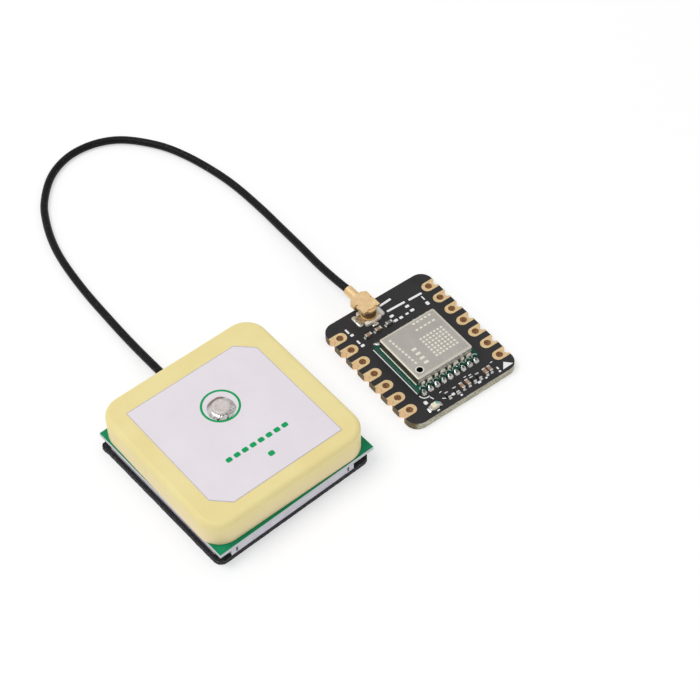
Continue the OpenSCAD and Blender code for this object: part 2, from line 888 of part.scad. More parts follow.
// A tray with its mouth up, closed by the amplifier board
module amplifier_shield() {
    mouth_w = cable_d + 2 * mouth_fit;
    color("#b9b9bb") at_antenna() translate([can_shift, 0, can_z]) difference() {
        linear_extrude(can_h) can_outline();
        translate([0, 0, can_wall]) block([can_w - 2 * can_wall, can_l - 2 * can_wall, can_h]);
        slit_pair(can_w, can_l);
        rotate(90) slit_pair(can_l, can_w);
        translate([mouth_x - can_shift, can_l / 2, can_wall]) block([mouth_w, 2 * past, can_h]);
    }
}

module amplifier_board() {
    color("#1c7a52") at_antenna() difference() {
        translate([0, 0, amp_z]) block([antenna_side, antenna_side, amp_t]);
        feed_rod(feed_d + 2 * feed_hole_fit, amp_z - past, amp_top + past);
    }
}

// Places a part on the amplifier board's underside
module under_board(at, size) {
    at_antenna() translate([at.x, at.y, amp_z - size.z]) block(size);
}

module amplifier_chip() {
    color("#1c1c1e") under_board(amp_chip_at, amp_chip_size);
}

module amplifier_filter() {
    color("#c9c2b0") under_board(amp_filter_at, amp_filter_size);
}

module amplifier_passives() {
    first_x = -(amp_passives - 1) / 2 * amp_passive_pitch;
    color("#a5805f") for (i = [0 : amp_passives - 1])
        under_board([first_x + i * amp_passive_pitch, amp_passives_y], [chip_l, chip_w, chip_h]);
}

module ground_electrode() {
    side = antenna_side - 2 * electrode_margin;
    color("#c4c4c8") at_antenna() difference() {
        at_ceramic() translate([0, 0, amp_top]) rounded_block(side, side, silver_t, ceramic_r);
        feed_rod(feed_d + 2 * feed_clear, amp_top - past, amp_top + past);
    }
}

module antenna_ceramic() {
    color("#ece39c") at_antenna() difference() {
        at_ceramic() translate([0, 0, ceramic_z])
            soft_block(antenna_side, antenna_side, ceramic_h, ceramic_r, ceramic_edge);
        feed_rod(feed_d + 2 * feed_hole_fit, ceramic_z - past, patch_z + past);
    }
}

module patch_outline() {
    x = patch_w / 2;
    y = patch_l / 2;
    polygon([
        [-x + patch_cut, -y], [x, -y], [x, y - patch_cut],
        [x - patch_cut, y], [-x, y], [-x, -y + patch_cut]]);
}

module antenna_patch() {
    color("#d9d8e0") at_antenna() difference() {
        at_ceramic() translate([patch_x, patch_y, patch_z]) linear_extrude(silver_t) patch_outline();
        feed_rod(feed_d + 2 * feed_hole_fit, patch_z - past, patch_top + past);
    }
}

module feed_pin() {
    head_z = patch_top + feed_solder_h;
    color("#c9c9c9") at_antenna() {
        feed_rod(feed_d, amp_z - feed_tail, head_z + feed_head_h / 2);
        feed_rod(feed_head_d, head_z, head_z + feed_head_h);
    }
}

// Solder on the patch under the pin's head, and around the pin's tail under the amplifier board
module feed_solder() {
    color("#d2d2d0") at_antenna() at_feed() {
        translate([0, 0, patch_top]) rotate_extrude()
            polygon([[feed_d / 2, 0], [feed_solder_d / 2, 0], [feed_solder_d / 2.2, feed_solder_h / 2],
                [feed_head_d / 2, feed_solder_h], [feed_d / 2, feed_solder_h]]);
        translate([0, 0, amp_z - feed_tail]) rotate_extrude()
            polygon([[feed_d / 2, 0], [feed_joint_d / 2, feed_tail], [feed_d / 2, feed_tail]]);
    }
}

carrier_board();
edge_pads();
module_board();
module_solder();
module_shield();
receiver_chip();
signal_filter();
clock_oscillator();
module_passives();
chip_capacitors();
chip_resistors();
chip_inductor();
lamp_base();
lamp_lens();
chip_ends();
socket_base();
socket_shell();
socket_pin();
socket_solder();
plug_shell();
plug_insulator();
plug_contact();
coax_cable();
lead_core();
lead_solder();
foam_pad();
amplifier_shield();
amplifier_board();
amplifier_chip();
amplifier_filter();
amplifier_passives();
ground_electrode();
antenna_ceramic();
antenna_patch();
feed_pin();
feed_solder();
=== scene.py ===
"""Looks of the satellite positioning module: camera, lead, materials, solder, small parts, print and light.

Points are written in millimetres in the part's own frame, and turned to metres when a mesh is made.
"""

import json
import math

import bmesh
import bpy
import numpy as np
from mathutils import Matrix, Vector, noise


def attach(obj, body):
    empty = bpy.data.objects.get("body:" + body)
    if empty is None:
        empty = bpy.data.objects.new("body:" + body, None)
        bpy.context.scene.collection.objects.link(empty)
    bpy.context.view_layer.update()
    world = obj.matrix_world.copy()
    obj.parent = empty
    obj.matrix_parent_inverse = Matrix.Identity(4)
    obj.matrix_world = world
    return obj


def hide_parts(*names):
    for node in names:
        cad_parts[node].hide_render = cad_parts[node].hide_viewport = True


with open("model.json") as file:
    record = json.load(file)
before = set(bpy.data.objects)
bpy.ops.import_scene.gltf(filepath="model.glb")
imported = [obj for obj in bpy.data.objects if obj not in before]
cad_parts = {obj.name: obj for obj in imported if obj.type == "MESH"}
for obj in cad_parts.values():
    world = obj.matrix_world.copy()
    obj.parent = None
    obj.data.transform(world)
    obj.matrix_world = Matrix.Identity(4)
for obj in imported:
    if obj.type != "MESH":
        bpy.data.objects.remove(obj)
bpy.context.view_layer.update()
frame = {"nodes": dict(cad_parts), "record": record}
scene = bpy.context.scene
MM = 0.001


# Sizes and places, as in the part's source

TOP = 1.2
PIN_ROW_X = 7.62
PIN_PITCH = 2.54

MODULE_TOP = 2.0
MODULE_Y = -1.45
MODULE_L = 9.7
HALF_HOLES = 9
HALF_HOLE_PITCH = 1.1

SHIELD_TOP = 3.4
SHIELD_X = -0.1
SHIELD_W = 9.2
SHIELD_L = 8.5

UPPER_ROW_Y = 5.6
LOWER_ROW_Y = -8.85
CHIP_L = 1.0
CHIP_W = 0.5
CHIP_H = 0.5
RESISTOR_H = 0.35
END_L = 0.22
END_SOLDER = 0.2
LAMP_X = -4.7
LAMP_Y = -9.25
LAMP_L = 1.6
LAMP_W = 0.8
LAMP_BASE_H = 0.3
LAMP_END_L = 0.3
LAMP_SOLDER = 0.3

SOCKET_X = -2.2
SOCKET_Y = 8.3
PLUG_TURN = 2

LEAD_D = 1.13
SLEEVE_END = 4.45
SLEEVE_Z = 1.64
MOUTH_X = 0.1
MOUTH_Z = 1.65
JACKET_END = 10.15
JACKET_IN = 2.1

ANTENNA_X = -29.05
ANTENNA_Y = 1.15
ANTENNA_TURN = 3.9
CERAMIC_SHIFT = 0.35
CERAMIC_TURN = -1.3

PATCH_TOP = 7.2
PATCH_X = -0.15
PATCH_Y = -0.5
PATCH_W = 19.4
PATCH_L = 19.7
PATCH_CUT = 2.2
FEED_Y = 2.1

FOAM_X = -0.2
FOAM_W = 25.0
FOAM_L = 24.7
FOAM_R = 1.2


def turned(x, y, angle):
    c, s = math.cos(math.radians(angle)), math.sin(math.radians(angle))
    return x * c - y * s, x * s + y * c


def in_antenna(x, y, z):
    """A point of the antenna's frame in the part's frame."""
    x, y = turned(x, y, ANTENNA_TURN)
    return x + ANTENNA_X, y + ANTENNA_Y, z


def in_ceramic(x, y, z):
    """A point of the ceramic block's frame in the part's frame."""
    x, y = turned(x, y, CERAMIC_TURN)
    return in_antenna(x, y + CERAMIC_SHIFT, z)


def in_plug(x, y, z):
    """A point of the plug's frame, on the board's top under the socket's middle, in the part's frame."""
    x, y = turned(x, y, PLUG_TURN)
    return x + SOCKET_X, y + SOCKET_Y, z + TOP


def as_is(x, y, z):
    return x, y, z


# Camera, fitted to the pin holes and the antenna in the photograph, then moved by half a pixel

PHOTO_SIDE = 700
FOCAL_PIXELS = 1956.013
SENSOR = 36
CAMERA_AZIMUTH = -35.801
CAMERA_ELEVATION = 51.049
CAMERA_ROLL = -1.482
CAMERA_SHIFT = (9.314, 0.295, 263.395)


def add_camera():
    az, el, roll = (math.radians(angle) for angle in (CAMERA_AZIMUTH, CAMERA_ELEVATION, CAMERA_ROLL))
    forward = -np.array([math.sin(az) * math.cos(el), -math.cos(az) * math.cos(el), math.sin(el)])
    right = np.cross(forward, [0, 0, 1])
    right /= np.linalg.norm(right)
    down = np.cross(forward, right)
    c, s = math.cos(roll), math.sin(roll)
    rows = np.array([[c, -s, 0], [s, c, 0], [0, 0, 1]]) @ np.array([right, down, forward])
    where = -rows.T @ np.array(CAMERA_SHIFT) * MM
    data = bpy.data.cameras.new("camera")
    data.sensor_width = SENSOR
    data.sensor_fit = "HORIZONTAL"
    data.lens = FOCAL_PIXELS / PHOTO_SIDE * SENSOR
    data.clip_start, data.clip_end = 0.01, 10
    camera = bpy.data.objects.new("camera", data)
    scene.collection.objects.link(camera)
    turn = Matrix(np.array([rows[0], -rows[1], -rows[2]]).T.tolist())
    camera.matrix_world = Matrix.Translation(where.tolist()) @ turn.to_4x4()
    scene.camera = camera


add_camera()


# Materials: every pattern is measured in millimetres

def tone(code):
    """A linear colour from a screen colour such as #e8c07a."""
    parts = [int(code[i:i + 2], 16) / 255 for i in (1, 3, 5)]
    linear = [p / 12.92 if p <= 0.04045 else ((p + 0.055) / 1.055) ** 2.4 for p in parts]
    return (*linear, 1.0)


class Look:
    """One node material on a Principled shader."""

    def __init__(self, name, metallic=0.0, specular=0.5):
        self.mat = bpy.data.materials.new(name)
        self.mat.use_nodes = True
        self.tree = self.mat.node_tree
        self.shader = self.tree.nodes["Principled BSDF"]
        self.shader.inputs["Metallic"].default_value = metallic
        self.shader.inputs["Specular IOR Level"].default_value = specular
        place = self.add("ShaderNodeTexCoord")
        scale = self.add("ShaderNodeVectorMath", operation="SCALE")
        scale.inputs["Scale"].default_value = 1 / MM
        self.link(place.outputs["Object"], scale.inputs[0])
        self.mm = scale.outputs[0]

    def add(self, kind, **settings):
        node = self.tree.nodes.new(kind)
        for key, value in settings.items():
            setattr(node, key, value)
        return node

    def link(self, source, socket):
        self.tree.links.new(source, socket)

    def put(self, value, socket):
        """Links a node's output to a socket, or sets the socket to a constant."""
        if isinstance(value, bpy.types.NodeSocket):
            self.link(value, socket)
        else:
            socket.default_value = value

    def math(self, kind, *values):
        node = self.add("ShaderNodeMath", operation=kind)
        for value, socket in zip(values, node.inputs):
            self.put(value, socket)
        return node.outputs[0]

    def times(self, first, second):
        return self.math("MULTIPLY", first, second)

    def stretched(self, scale, shift=(0, 0, 0)):
        node = self.add("ShaderNodeMapping")
        node.inputs["Scale"].default_value = scale
        node.inputs["Location"].default_value = shift
        self.link(self.mm, node.inputs["Vector"])
        return node.outputs[0]

    def noise(self, per_mm, detail=3.0, rough=0.55, stretch=(1, 1, 1), shift=(0, 0, 0)):
        """Soft noise from 0 to 1 with this many patches to the millimetre."""
        node = self.add("ShaderNodeTexNoise")
        node.inputs["Scale"].default_value = per_mm
        node.inputs["Detail"].default_value = detail
        node.inputs["Roughness"].default_value = rough
        self.link(self.stretched(stretch, shift), node.inputs["Vector"])
        return node.outputs["Fac"]

    def cells(self, per_mm, stretch=(1, 1, 1)):
        """Distance to the nearest seed, for pores."""
        node = self.add("ShaderNodeTexVoronoi")
        node.inputs["Scale"].default_value = per_mm
        self.link(self.stretched(stretch), node.inputs["Vector"])
        return node.outputs["Distance"]

    def spread(self, value, low, high, to_low=0.0, to_high=1.0):
        """A value's range from low to high, spread over another range and held at its ends."""
        node = self.add("ShaderNodeMapRange", clamp=True)
        for key, setting in (("From Min", low), ("From Max", high), ("To Min", to_low), ("To Max", to_high)):
            node.inputs[key].default_value = setting
        self.link(value, node.inputs["Value"])
        return node.outputs["Result"]

    def falling(self, value, low, high, most=1.0):
        """The most below low, and nothing above high."""
        return self.spread(value, low, high, most, 0.0)

    def patches(self, per_mm, detail, low=0.0, high=1.0, **kind):
        """Noise that wanders over the whole of a range."""
        return self.spread(self.noise(per_mm, detail, **kind), 0.3, 0.7, low, high)

    def mix(self, share, first, second):
        node = self.add("ShaderNodeMix", data_type="RGBA")
        self.put(share, node.inputs["Factor"])
        self.put(first, node.inputs[6])
        self.put(second, node.inputs[7])
        return node.outputs[2]

    def tinted(self, base, code, share, strength):
        """A colour that turns towards a tone where the share is high."""
        return self.mix(self.times(share, strength), base, tone(code))

    def ramp(self, value, *stops):
        """A colour for a value, from stops of a place and a screen colour."""
        node = self.add("ShaderNodeValToRGB")
        band = node.color_ramp
        while len(band.elements) < len(stops):
            band.elements.new(1.0)
        for element, (at, code) in zip(band.elements, stops):
            element.position = at
            element.color = tone(code)
        self.link(value, node.inputs["Fac"])
        return node.outputs["Color"]

    def part(self, axis):
        """One coordinate in millimetres."""
        node = self.add("ShaderNodeSeparateXYZ")
        self.link(self.mm, node.inputs[0])
        return node.outputs[axis]

    def apart(self, axis, middle):
        """Distance from a middle along an axis, in millimetres."""
        return self.math("ABSOLUTE", self.math("SUBTRACT", self.part(axis), middle))

    def facing(self, axis):
        """How squarely a face looks along an axis, from 0 to 1."""
        shape = self.add("ShaderNodeNewGeometry")
        node = self.add("ShaderNodeSeparateXYZ")
        self.link(shape.outputs["Normal"], node.inputs[0])
        return self.math("ABSOLUTE", node.outputs[axis])

    def wall(self, low=0.4):
        """1 on upright faces and 0 on flat ones."""
        return self.falling(self.facing("Z"), low, 0.6)

    def colour(self, value):
        self.put(value, self.shader.inputs["Base Color"])
        return self

    def rough(self, value):
        self.put(value, self.shader.inputs["Roughness"])
        return self

    def bump(self, height, depth_mm):
        node = self.add("ShaderNodeBump")
        node.inputs["Strength"].default_value = 1.0
        node.inputs["Distance"].default_value = depth_mm * MM
        self.link(height, node.inputs["Height"])
        self.link(node.outputs[0], self.shader.inputs["Normal"])
        return self

    def flowed(self, low, high):
        """The gloss and the slow waves of solder that has flowed."""
        self.rough(self.patches(2.5, 3, low, high))
        return self.bump(self.noise(2.6, 3, 0.5), 0.06)


def mottled(name, dark, light, per_mm=2.0, rough=(0.35, 0.5), grain=6.0, depth=0.004, **kind):
    """A material whose tone, gloss and surface all vary a little."""
    look = Look(name, **kind)
    look.colour(look.mix(look.patches(per_mm, 4), tone(dark), tone(light)))
    look.rough(look.patches(per_mm * 1.7, 2, *rough, shift=(5, 3, 1)))
    return look.bump(look.noise(grain, 4, 0.6), depth)


# Reach of the plated look around a pin hole, and of a row of holes from the board's middle
HOLE_WALL_R = 0.56
PIN_ROW_END = 8.4
# Distance of the joints' middles from the module's middle
JOINT_MIDDLE = 5.17


def board_look():
    """Black solder mask, the cut edges of the laminate and the plated walls of the pin holes."""
    look = Look("solder_mask_black", specular=0.32)
    wall = look.wall()
    # the flat mask, a little uneven over the copper below it
    cloud = look.spread(look.noise(0.35, 3), 0.35, 0.65)
    fine = look.spread(look.noise(9, 3), 0.35, 0.75)
    mask = look.mix(cloud, tone("#212022"), tone("#2a282a"))
    mask = look.tinted(mask, "#3b383a", fine, 0.3)
    # the cut laminate: speckled glass ends on one pair of edges, scorched resin on the other
    grit = look.noise(5.5, 5, 0.7, stretch=(1, 1, 1.6))
    layers = look.noise(1.0, 2, 0.5, stretch=(0.8, 0.8, 9))
    speck = look.math("ADD", look.times(grit, 0.75), look.times(layers, 0.25))
    glass = look.ramp(speck, (0.37, "#4a432b"), (0.46, "#938c70"), (0.54, "#c2beaa"), (0.63, "#f1efe2"))
    resin = look.ramp(speck, (0.34, "#2c2210"), (0.5, "#5a4722"), (0.66, "#88703c"))
    edge = look.mix(look.spread(look.facing("X"), 0.45, 0.75), glass, resin)
    both = look.mix(wall, mask, edge)
    # the plated walls of the pin holes
    x = look.math("SUBTRACT", look.math("ABSOLUTE", look.part("X")), PIN_ROW_X)
    y = look.math("WRAP", look.part("Y"), PIN_PITCH / 2, -PIN_PITCH / 2)
    away = look.math("SQRT", look.math("ADD", look.times(x, x), look.times(y, y)))
    near = look.math("LESS_THAN", away, HOLE_WALL_R)
    inside = look.math("LESS_THAN", look.math("ABSOLUTE", look.part("Y")), PIN_ROW_END)
    hole = look.times(look.times(near, inside), wall)
    plated = look.ramp(look.noise(4, 3), (0.35, "#96683e"), (0.65, "#d8aa74"))
    look.colour(look.mix(hole, both, plated))
    look.rough(look.patches(2.2, 3, 0.36, 0.5))
    height = look.math("ADD", look.times(look.noise(7, 3), 0.12), look.times(grit, wall))
    return look.bump(height, 0.05)


def gold_look(name, dark, light, wall_tone):
    look = Look(name, metallic=1.0)
    base = look.mix(look.patches(1.6, 4), tone(dark), tone(light))
    speck = look.spread(look.noise(9, 3, 0.7), 0.56, 0.72)
    base = look.tinted(base, "#8a5c30", speck, 0.6)
    look.colour(look.tinted(base, wall_tone, look.wall(0.3), 0.8))
    look.rough(look.patches(4, 3, 0.32, 0.5))
    return look.bump(look.noise(8, 4, 0.65), 0.018)


def plug_look():
    """Stamped gold sheet: bright and grainy outside, with painted shade where the barrel stands under the
    cap.
    """
    look = Look("plug_gold", metallic=1.0)
    base = look.mix(look.patches(1.3, 4), tone("#efcf9b"), tone("#fae1b7"))
    grain = look.noise(7, 4, 0.7)
    base = look.tinted(base, "#c49a63", look.spread(grain, 0.5, 0.72), 0.4)
    # painted shade: the barrel under the cap's front is painted dark
    z = look.part("Z")
    below = look.times(look.spread(z, 1.95, 2.05), look.falling(z, 3.05, 3.15))
    front = look.falling(look.part("Y"), 9.5, 9.8)
    look.colour(look.tinted(base, "#5a4226", look.times(below, front), 0.8))
    look.rough(look.patches(4, 3, 0.52, 0.7))
    return look.bump(grain, 0.035)


def shield_look():
    look = Look("nickel_silver", metallic=1.0)
    grain = look.noise(11, 4, 0.7)
    base = look.mix(look.patches(0.5, 3), tone("#c9c4bc"), tone("#d5d0c8"))
    base = look.tinted(base, "#aaa59c", look.spread(grain, 0.4, 0.7), 0.4)
    # painted reflection: the walls bent along Y are painted dark, standing in for the black board that they
    # mirror
    base = look.mix(look.spread(look.facing("X"), 0.6, 0.95, 0.0, 0.75), base, tone("#4b4a42"))
    # painted reflection: the two end walls are painted light, standing in for the bright solder and floor
    # that they mirror
    end_wall = look.spread(look.facing("Y"), 0.6, 0.95)
    base = look.tinted(base, "#f4f1ea", end_wall, 0.8)
    # painted shade: the foot of the end walls is painted dark between the dabs of solder
    foot = look.falling(look.part("Z"), 2.5, 2.62, 0.8)
    base = look.mix(look.times(end_wall, foot), base, tone("#35332b"))
    # painted highlight: the bend and the rim of the top beside it are painted bright
    up = look.facing("Z")
    bend = look.times(look.spread(up, 0.1, 0.35), look.falling(up, 0.9, 0.995))
    beside = look.math("SUBTRACT", look.apart("X", SHIELD_X), SHIELD_W / 2)
    along = look.math("SUBTRACT", look.apart("Y", MODULE_Y), SHIELD_L / 2)
    border = look.spread(look.math("MAXIMUM", beside, along), -0.36, -0.28)
    rim = look.math("MAXIMUM", bend, look.times(border, look.spread(up, 0.9, 0.99)))
    look.colour(look.tinted(base, "#efe9d8", rim, 0.75))
    look.rough(look.patches(3, 3, 0.34, 0.46))
    return look.bump(grain, 0.01)


def solder_look(name="bright_solder", dark="#b9b9b6", light="#f3f3f0", rough=(0.08, 0.28), per_mm=1.6):
    look = Look(name, metallic=1.0)
    look.colour(look.mix(look.patches(per_mm, 4), tone(dark), tone(light)))
    return look.flowed(*rough)


def joint_look():
    """Bright solder with a painted dark reflection in the hollow in the middle of each of the receiver
    module's joints.
    """
    look = Look("module_solder", metallic=1.0)
    base = look.mix(look.patches(1.6, 4), tone("#bcbcb8"), tone("#f6f6f3"))
    # painted reflection: a ragged dark patch in the middle of each joint
    across = look.math("WRAP", look.part("X"), HALF_HOLE_PITCH / 2, -HALF_HOLE_PITCH / 2)
    across = look.math("ABSOLUTE", across)
    along = look.math("ABSOLUTE", look.math("SUBTRACT", look.apart("Y", MODULE_Y), JOINT_MIDDLE))
    ragged = look.times(look.math("SUBTRACT", look.noise(3, 3), 0.5), 0.35)
    away = look.math("ADD", look.math("MAXIMUM", across, look.times(along, 0.8)), ragged)
    look.colour(look.mix(look.falling(away, 0.1, 0.2, 0.85), base, tone("#4b4a44")))
    return look.flowed(0.08, 0.28)


def feed_look():
    """Solder that the iron left scorched on the pin's far side and pitted on its near side."""
    look = Look("feed_solder", metallic=0.9)
    base = look.mix(look.patches(1.9, 4), tone("#b4aeab"), tone("#fbfaf9"))
    y = look.part("Y")
    base = look.mix(look.spread(y, 4.4, 4.8, 0.0, 0.8), base, tone("#8a7264"))
    pits = look.spread(look.noise(2.6, 2, shift=(1, 4, 2)), 0.52, 0.58)
    pits = look.times(pits, look.falling(y, 2.6, 3.2, 0.9))
    look.colour(look.mix(pits, base, tone("#3b3230")))
    return look.flowed(0.14, 0.36)


def ceramic_look():
    look = Look("yellow_ceramic", specular=0.35)
    base = look.mix(look.patches(0.14, 4), tone("#ebdb98"), tone("#f1e2a3"))
    grit = look.spread(look.noise(3.5, 4, 0.6), 0.4, 0.75)
    base = look.tinted(base, "#e2cf86", grit, 0.22)
    # the pressed block is paler low down on its walls
    height = look.math("ADD", look.part("Z"), look.times(look.noise(0.5, 2), 0.8))
    low = look.times(look.wall(0.2), look.falling(height, 4.2, 6.4))
    look.colour(look.tinted(base, "#efd8b4", low, 0.6))
    look.rough(look.patches(0.8, 3, 0.42, 0.55))
    return look.bump(look.noise(4, 4, 0.6), 0.012)


def silver_look():
    look = Look("fired_silver", specular=0.4)
    base = look.mix(look.patches(0.2, 3), tone("#e6dfe6"), tone("#ebe5eb"))
    grain = look.noise(14, 3, 0.7)
    look.colour(look.tinted(base, "#d9d2da", look.spread(grain, 0.4, 0.7), 0.25))
    look.rough(look.patches(2, 2, 0.5, 0.62))
    return look.bump(grain, 0.006)


def foam_look():
    look = Look("cut_foam", specular=0.25)
    pores = look.cells(5.5, stretch=(1, 1, 1.4))
    base = look.ramp(pores, (0.12, "#0d0c0e"), (0.35, "#1c1a1e"), (0.62, "#302e33"))
    speck = look.spread(look.noise(5.5, 3, 0.7), 0.58, 0.68)
    look.colour(look.tinted(base, "#98959c", look.times(speck, look.wall()), 0.85))
    look.rough(look.spread(pores, 0.1, 0.6, 0.95, 0.7))
    return look.bump(pores, 0.08)


def cable_look():
    look = Look("cable_jacket", specular=0.16)
    base = look.mix(look.patches(0.8, 4), tone("#08080a"), tone("#111114"))
    # light flecks: partly specks in the jacket, partly painted highlights
    fleck_and_highlight = look.spread(look.noise(3.2, 3, 0.7), 0.62, 0.72)
    look.colour(look.tinted(base, "#6c6b74", fleck_and_highlight, 0.6))
    look.rough(look.patches(2.5, 3, 0.34, 0.5))
    return look.bump(look.noise(4.5, 4, 0.7), 0.05)


def can_look():
    look = Look("tinplate", metallic=0.35)
    base = look.mix(look.patches(0.7, 4, stretch=(1, 1, 2.5)), tone("#c3bfcb"), tone("#dcd8e2"))
    streak = look.spread(look.noise(1.4, 4, 0.65, stretch=(1, 1, 7)), 0.55, 0.72)
    look.colour(look.tinted(base, "#9f9ca8", streak, 0.4))
    look.rough(look.patches(2, 3, 0.24, 0.42))
    return look.bump(look.noise(3, 3, 0.55, stretch=(1, 1, 3)), 0.02)


def mask_green_look(name, dark, light, edge_tone, stain):
    """Green solder mask on the flat faces and laminate, stained green in spots, on the cut edges."""
    look = Look(name, specular=0.2)
    base = look.mix(look.patches(0.6, 3), tone(dark), tone(light))
    grit = look.spread(look.noise(6, 4, 0.7), 0.35, 0.7)
    edge = look.mix(look.times(grit, stain), tone(edge_tone), base)
    look.colour(look.mix(look.wall(), base, edge))
    look.rough(look.patches(3, 2, 0.34, 0.48))
    return look.bump(look.noise(7, 3), 0.008)


LOOKS = {
    "board_black": board_look(),
    "gold_plating": gold_look("gold_plating", "#f6d29b", "#ffe6b8", "#e2c096"),
    "socket_gold": gold_look("socket_gold", "#cdbb98", "#e0d0b2", "#bfa987"),
    "plug_gold": plug_look(),
    "module_green": mask_green_look("module_mask", "#0a4a39", "#115a49", "#3f7a69", 1.0),
    "solder": solder_look(),
    "shield_metal": shield_look(),
    "chip_black": mottled("chip_resin", "#1b1b1d", "#29292b", 1.5, (0.4, 0.6), specular=0.4),
    "chip_cream": mottled("chip_cream", "#c4bba5", "#d3cab5", 1.5),
    "chip_metal": mottled("chip_lid", "#b5b5b9", "#cfcfd3", 1.0, (0.25, 0.4), metallic=1.0),
    "capacitor_brown": mottled("fired_brown", "#8b6e57", "#b8997e", 3.0, (0.35, 0.5), 12.0, 0.01),
    "inductor_grey": mottled("fired_grey", "#5c5b5c", "#8b8a89", 3.0, (0.35, 0.5), 12.0, 0.01),
    "lamp_cream": mottled("lamp_resin", "#e9e2c4", "#f5f0dc", 2.0, (0.18, 0.3)),
    "socket_cream": mottled("socket_plastic", "#f3e7da", "#fff7ee", 1.5, (0.4, 0.55)),
    "insulation_white": mottled("white_insulation", "#e2e0d8", "#f1efe9", 1.5, (0.4, 0.55)),
    "cable_black": cable_look(),
    "foam_black": foam_look(),
    "can_metal": can_look(),
    "amplifier_green": mask_green_look("amplifier_mask", "#058257", "#0a9264", "#d3d0d8", 0.3),
    "fired_silver": silver_look(),
    "ceramic_yellow": ceramic_look(),
    "print_white": mottled("white_print", "#e6e6ea", "#fafafc", 6.0, (0.5, 0.7), 14.0, 0.006),
    "print_pale": mottled("pale_marking", "#dcd7c8", "#efebdd", 5.0, (0.45, 0.6), 14.0, 0.006),
    "print_green": mottled("green_print", "#0d9a58", "#18a765", 3.0, (0.45, 0.6), 12.0, specular=0.15),
    "print_grey": mottled("grey_outline", "#b9b3ba", "#cac4cb", 3.0, (0.5, 0.6), 12.0),
    "seam_cream": mottled("seam_solder", "#dad4c0", "#faf6e6", 3.0, (0.3, 0.45), 6.0, 0.02),
    "joint_tin": joint_look(),
    "tin": solder_look("tinned_end", "#c9c7c2", "#f6f5f2", (0.2, 0.4), 3.0),
    "feed_tin": feed_look(),
    "feed_dull": mottled("feed_head", "#cac2bf", "#dfd8d5", 2.5, (0.55, 0.7), 5.0, 0.04, metallic=0.45),
    "lamp_teal": mottled("lamp_crystal", "#1f9c8d", "#4cc2b0", 5.0, (0.2, 0.3), 12.0),
}


# Lead: a smooth curve through the same points as the solid, from the plug to the antenna's can

LEAD_POINTS = [
    (-2.5, 16, 2), (-2.45, 19.7, 1.55), (-2.2, 24, 1.05), (-2, 28.9, 0.5), (-1.9, 33.8, 0.15),
    (-2.2, 39.6, 0.04), (-2.95, 44.3, 0.01), (-4.4, 49.5, 0), (-6.4, 53.8, 0), (-9.7, 57.8, 0),
    (-13.05, 59.7, 0), (-16.75, 60.2, 0), (-20.05, 59.4, 0), (-23, 57.5, 0), (-25.85, 54.2, 0),
    (-27.55, 50.9, 0), (-28.9, 46.9, 0), (-29.7, 42.6, 0), (-30.15, 36.5, 0.01), (-30.2, 30.3, 0.03),
    (-30.15, 24.4, 0.2), (-30.05, 18.1, 0.8)]


def add_lead():
    plug_end = in_plug(0, SLEEVE_END, SLEEVE_Z)
    mouth_end = in_antenna(MOUTH_X, JACKET_END, MOUTH_Z)
    way = turned(0, JACKET_IN + LEAD_D, ANTENNA_TURN)
    mouth = (mouth_end[0] + way[0], mouth_end[1] + way[1], MOUTH_Z)
    points = [plug_end] + [(x, y, z + LEAD_D / 2) for x, y, z in LEAD_POINTS] + [mouth, mouth_end]
    points = [np.array(p) for p in points]
    before = points[0] - LEAD_D * np.array([*turned(0, 1, PLUG_TURN), 0])
    after = points[-1] - LEAD_D * np.array([*turned(0, 1, ANTENNA_TURN), 0])
    # the lead leaves the antenna, so the curve runs from there to the plug
    guided = [after] + points[::-1] + [before]
    data = bpy.data.curves.new("coax_lead", "CURVE")
    data.dimensions = "3D"
    data.bevel_depth = LEAD_D / 2 * MM
    data.bevel_resolution = 5
    data.resolution_u = 10
    data.use_fill_caps = True
    spline = data.splines.new("BEZIER")
    spline.bezier_points.add(len(points) - 1)
    for i, knot in enumerate(spline.bezier_points):
        here = guided[i + 1]
        third = (guided[i + 2] - guided[i]) / 6
        knot.handle_left_type = knot.handle_right_type = "FREE"
        knot.co = here * MM
        knot.handle_left = (here - third) * MM
        knot.handle_right = (here + third) * MM
    lead = bpy.data.objects.new("coax_lead", data)
    scene.collection.objects.link(lead)
    data.materials.append(LOOKS["cable_black"].mat)
    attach(lead, "root")
    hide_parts("coax_cable")


add_lead()


# CAD nodes keep their shape and take a material by their slot

SPECIAL = {"socket_shell": "socket_gold"}
for entry in frame["record"]["subparts"]:
    data = frame["nodes"][entry["node"]].data
    data.materials.clear()
    data.materials.append(LOOKS[SPECIAL.get(entry["node"], entry["material_slot"])].mat)


# Meshes, built in millimetres

def finished(bm, name, slot, look=None, stands_for=(), place=as_is, crease=35):
    """Makes a piece of the part from a mesh."""
    for vert in bm.verts:
        vert.co = Vector(place(*vert.co)) * MM
    bmesh.ops.recalc_face_normals(bm, faces=bm.faces)
    mesh = bpy.data.meshes.new(name)
    bm.to_mesh(mesh)
    bm.free()
    mesh.shade_smooth()
    mesh.set_sharp_from_angle(angle=math.radians(crease))
    mesh.materials.append(LOOKS[look or slot].mat)
    piece = bpy.data.objects.new(name, mesh)
    scene.collection.objects.link(piece)
    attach(piece, "root")
    for node in stands_for:
        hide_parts(node)
    return piece


def add_prism(bm, outline, low, high):
    """An upright slab over a flat outline."""
    floor = [bm.verts.new((x, y, low)) for x, y in outline]
    roof = [bm.verts.new((x, y, high)) for x, y in outline]
    for i in range(len(outline)):
        j = (i + 1) % len(outline)
        bm.faces.new((floor[i], floor[j], roof[j], roof[i]))
    bm.faces.new(floor[::-1])
    bm.faces.new(roof)


def add_skin(bm, a, b):
    """A band of faces between two closed rows of as many points."""
    for i in range(len(a)):
        j = (i + 1) % len(a)
        bm.faces.new((a[i], a[j], b[j], b[i]))


